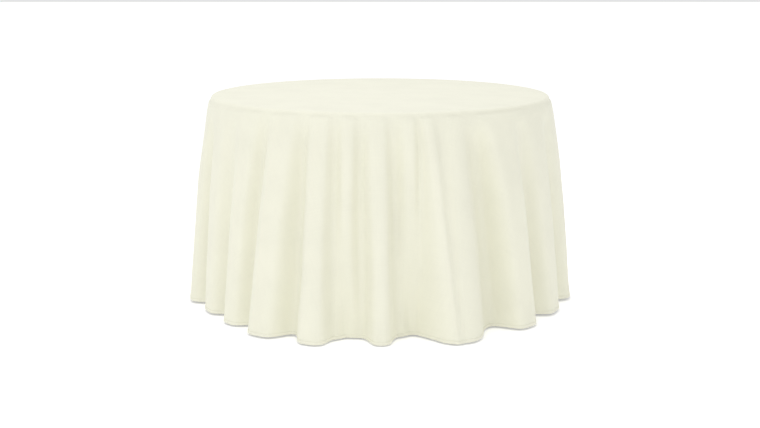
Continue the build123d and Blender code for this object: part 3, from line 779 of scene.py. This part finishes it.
class StitchHem(bpy.types.Operator):
    """Sew the hem with a row of lockstitches, outside and inside"""
    bl_idname = "tablecloth.stitch_hem"
    bl_label = "Stitch hem"

    def execute(self, context):
        scene = context.scene
        sizes, hem = scene.cloth_sizes, scene.hem_sizes
        whole = bpy.data.objects["whole_cloth"]
        mesh = whole.data
        columns = sizes.columns
        last = len(mesh.vertices) - columns
        upper = [mesh.vertices[last - 2 * columns + j] for j in range(columns)]
        lower = [mesh.vertices[last - columns + j] for j in range(columns)]
        share = hem.seam_inset / (hem.width / 2)
        seam = [a.co.lerp(b.co, share) for a, b in zip(upper, lower)]
        out = [(a.normal + b.normal).normalized() for a, b in zip(upper, lower)]
        select_none()
        bpy.ops.mesh.primitive_uv_sphere_add(segments=4, ring_count=4, radius=0.5)
        stitch = context.object
        bpy.ops.object.mode_set(mode="EDIT")
        bpy.ops.mesh.select_all(action="SELECT")
        bpy.ops.transform.resize(value=(1.0, 1.0, 0.8))
        bpy.ops.object.mode_set(mode="OBJECT")
        shape = [v.co.copy() for v in stitch.data.vertices]
        faces = [tuple(p.vertices) for p in stitch.data.polygons]
        bpy.data.objects.remove(stitch)
        run = [0.0]
        for j in range(columns):
            run.append(run[-1] + (seam[(j + 1) % columns] - seam[j]).length)
        count = round(run[-1] / hem.stitch_pitch)
        work = bmesh.new()
        for n in range(count):
            place = (n + 0.5) * run[-1] / count
            j = min(bisect.bisect_right(run, place) - 1, columns - 1)
            k = (j + 1) % columns
            t = (place - run[j]) / (run[j + 1] - run[j])
            middle = seam[j].lerp(seam[k], t)
            along = (seam[k] - seam[j]).normalized()
            normal = out[j].lerp(out[k], t)
            normal = (normal - along * normal.dot(along)).normalized()
            side = normal.cross(along)
            for face_sign in (1, -1):
                at = middle + normal * face_sign * (hem.thickness / 2 + hem.thread * 0.15)
                verts = [work.verts.new(at + along * (p.z * 1.25 * hem.stitch_pitch * 0.84)
                                        + side * (p.x * hem.thread) + normal * (p.y * hem.thread))
                         for p in shape]
                for corners in faces:
                    work.faces.new([verts[i] for i in corners])
        bmesh.ops.recalc_face_normals(work, faces=work.faces)
        made = bpy.data.meshes.new("hem_lockstitch")
        work.to_mesh(made)
        work.free()
        for polygon in made.polygons:
            polygon.use_smooth = True
        stitches = new_object("hem_lockstitch", made)
        made.materials.append(spun_thread(scene.finish_colours.thread))
        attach(stitches, "cloth")
        bpy.data.objects.remove(whole)
        return {"FINISHED"}


class FinishTable(bpy.types.Operator):
    """Give the table top, tubes, brackets, screws, plugs and feet their finishes"""
    bl_idname = "tablecloth.finish_table"
    bl_label = "Finish table"

    def execute(self, context):
        colours = context.scene.finish_colours
        finish_nodes(pebbled_panel(colours.panel), "table_top")
        finish_nodes(coated_tube("powder_coated_tube", colours.frame),
                     "side_rail", "pivot_tube_left", "pivot_tube_right", "leg_loop", "crossbar_left",
                     "crossbar_right")
        finish_nodes(coated_tube("powder_coated_bracket", colours.bracket),
                     "pivot_bracket", "cross_strap", "anchor_bracket", "brace_upper_bar", "brace_lower_bar")
        finish_nodes(zinc_plating(colours.zinc),
                     "bracket_screws", "rail_screws", "strap_screws", "anchor_pin", "brace_elbow_rivet")
        finish_nodes(moulded_plastic("moulded_nylon_plug", colours.plug, 0.5),
                     "rail_end_plugs", "pivot_tube_plugs", "crossbar_collars")
        finish_nodes(moulded_plastic("moulded_soft_pvc_foot", colours.foot, 0.62), "leg_feet")
        return {"FINISHED"}


# ---------------------------------------------------------------- the stage


FLOOR_GLOW = 0.30       # how much the white paper adds of its own, so that only a faint shadow shows on it
AIMED_AT = (0, 0, 0.4)
SKY_BOX = ("softbox_above", (-0.3, 0.0, 3.6), 3.0)      # name, place and width of each light
KEY_BOX = ("softbox_left", (-2.4, -4.2, 2.9), 2.6)
FRONT_BOX = ("softbox_front", (0.8, -5.4, 1.9), 2.6)


class SetStage(bpy.types.Operator):
    """Set the white floor, the soft light and the camera"""
    bl_idname = "tablecloth.set_stage"
    bl_label = "Set stage"

    def execute(self, context):
        scene = context.scene
        sizes = scene.stage_sizes
        select_none()
        bpy.ops.mesh.primitive_plane_add(size=60, location=(0, 0, 0))
        floor = context.object
        floor.name = "studio_floor"
        paper, _, shader = new_material("white_seamless_paper", linear("FBFBFB"), Roughness=0.9)
        shader.inputs["Specular IOR Level"].default_value = 0.0
        shader.inputs["Emission Color"].default_value = (1, 1, 1, 1)
        shader.inputs["Emission Strength"].default_value = FLOOR_GLOW
        floor.data.materials.append(paper)
        world = bpy.data.worlds.new("white_studio")
        scene.world = world
        world.use_nodes = True
        back = world.node_tree.nodes["Background"]
        back.inputs["Color"].default_value = (1, 1, 1, 1)
        back.inputs["Strength"].default_value = sizes.sky
        for (name, place, width), power in (
                (SKY_BOX, sizes.overhead), (KEY_BOX, sizes.key), (FRONT_BOX, sizes.front)):
            light = bpy.data.lights.new(name, "AREA")
            light.size = width
            light.energy = power
            lamp = new_object(name, light)
            lamp.location = place
            lamp.rotation_euler = (Vector(AIMED_AT) - Vector(place)).to_track_quat("-Z", "Y").to_euler()
        camera = bpy.data.cameras.new("camera")
        camera.lens = sizes.lens
        camera.sensor_width = 36
        camera.dof.use_dof = False
        viewer = new_object("camera", camera)
        viewer.location = (0, -sizes.camera_distance, sizes.camera_height)
        viewer.rotation_euler = (pi / 2 - sizes.camera_tilt, 0, 0)
        scene.camera = viewer
        scene.view_settings.view_transform = "Standard"
        return {"FINISHED"}


# ---------------------------------------------------------------- add-on


class TableclothPanel(bpy.types.Panel):
    """Lists the steps that make the dressed table, in their order"""
    bl_idname = "VIEW3D_PT_tablecloth"
    bl_label = "Tablecloth"
    bl_space_type = "VIEW_3D"
    bl_region_type = "UI"
    bl_category = "Tablecloth"

    def draw(self, context):
        for group in GROUPS:
            box = self.layout.box()
            holder = getattr(context.scene, group)
            for name in holder.bl_rna.properties.keys():
                if name not in ("rna_type", "name"):
                    box.prop(holder, name)
        for step in STEPS:
            self.layout.operator(step.bl_idname)


GROUPS = {"cloth_sizes": ClothSizes, "hem_sizes": HemSizes, "finish_colours": FinishColours,
          "stage_sizes": StageSizes}
STEPS = (SetStage, DrapeCloth, TurnHem, StitchHem, FinishTable)


def register():
    for made in (*GROUPS.values(), *STEPS, TableclothPanel):
        bpy.utils.register_class(made)
    for name, group in GROUPS.items():
        setattr(bpy.types.Scene, name, bpy.props.PointerProperty(type=group))


def unregister():
    for name in GROUPS:
        delattr(bpy.types.Scene, name)
    for made in (TableclothPanel, *reversed(STEPS), *GROUPS.values()):
        bpy.utils.unregister_class(made)


def main():
    """Builds the stage and every piece in order."""
    register()
    bpy.ops.tablecloth.set_stage()
    bpy.ops.tablecloth.drape_cloth()
    bpy.ops.tablecloth.turn_hem()
    bpy.ops.tablecloth.stitch_hem()
    bpy.ops.tablecloth.finish_table()


if __name__ == "__main__":
    main()
